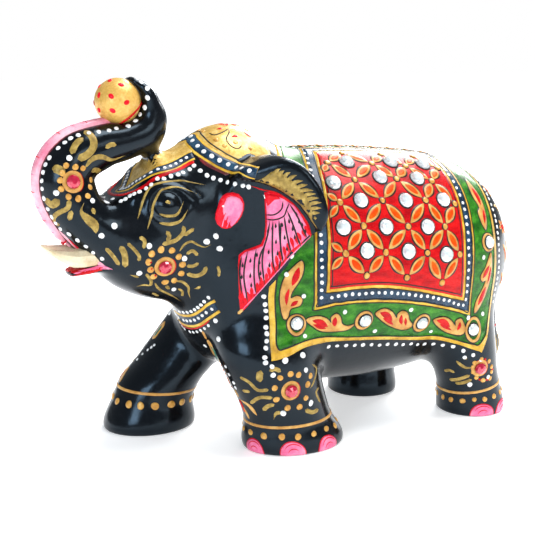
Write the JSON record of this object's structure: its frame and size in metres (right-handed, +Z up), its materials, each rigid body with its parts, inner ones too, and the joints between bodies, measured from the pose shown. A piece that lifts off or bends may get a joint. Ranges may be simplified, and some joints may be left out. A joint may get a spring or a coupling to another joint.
{
  "type": "decorative elephant figurine",
  "caption": "Carved wooden walking elephant with raised trunk holding a ball, painted blanket and headdress, set with glass stones.",
  "frame": {"origin": "on the ground under the middle of the whole figure's box", "axes": "+X toward the tail, so the elephant faces -X; its left flank faces -Y; +Z up"},
  "size_m": [0.1674, 0.0714, 0.1124],
  "materials": {
    "lacquered_wood": "gloss",
    "gold_paint": "satin",
    "ivory_paint": "gloss",
    "crystal": "gloss",
    "ruby": "gloss",
    "white_enamel": "gloss",
    "red_enamel": "gloss",
    "green_enamel": "gloss",
    "navy_enamel": "gloss",
    "yellow_enamel": "gloss",
    "orange_enamel": "gloss",
    "pink_enamel": "gloss",
    "black_enamel": "gloss"
  },
  "bodies": {
    "root": {"ball": "gold_paint", "body": "lacquered_wood", "crystal_left_a1": "crystal", "crystal_left_a2": "crystal", "crystal_left_a3": "crystal", "crystal_left_b1": "crystal", "crystal_left_b2": "crystal", "crystal_left_b3": "crystal", "crystal_left_border1": "crystal", "crystal_left_border2": "crystal", "crystal_left_border3": "crystal", "crystal_left_border4": "crystal", "crystal_left_border5": "crystal", "crystal_left_c1": "crystal", "crystal_left_c2": "crystal", "crystal_left_c3": "crystal", "crystal_left_d1": "crystal", "crystal_left_d2": "crystal", "crystal_left_d3": "crystal", "crystal_left_e1": "crystal", "crystal_left_e2": "crystal", "crystal_left_e3": "crystal", "crystal_right_a1": "crystal", "crystal_right_a2": "crystal", "crystal_right_a3": "crystal", "crystal_right_b1": "crystal", "crystal_right_b2": "crystal", "crystal_right_b3": "crystal", "crystal_right_border1": "crystal", "crystal_right_border2": "crystal", "crystal_right_border3": "crystal", "crystal_right_border4": "crystal", "crystal_right_border5": "crystal", "crystal_right_c1": "crystal", "crystal_right_c2": "crystal", "crystal_right_c3": "crystal", "crystal_right_d1": "crystal", "crystal_right_d2": "crystal", "crystal_right_d3": "crystal", "crystal_right_e1": "crystal", "crystal_right_e2": "crystal", "crystal_right_e3": "crystal", "ruby_cheek_left": "ruby", "ruby_cheek_right": "ruby", "ruby_foreleg_left": "ruby", "ruby_foreleg_right": "ruby", "ruby_hindleg_left": "ruby", "ruby_hindleg_right": "ruby", "ruby_trunk_left": "ruby", "ruby_trunk_right": "ruby", "tusk_left": "ivory_paint", "tusk_right": "ivory_paint"}
  },
  "joints": []
}
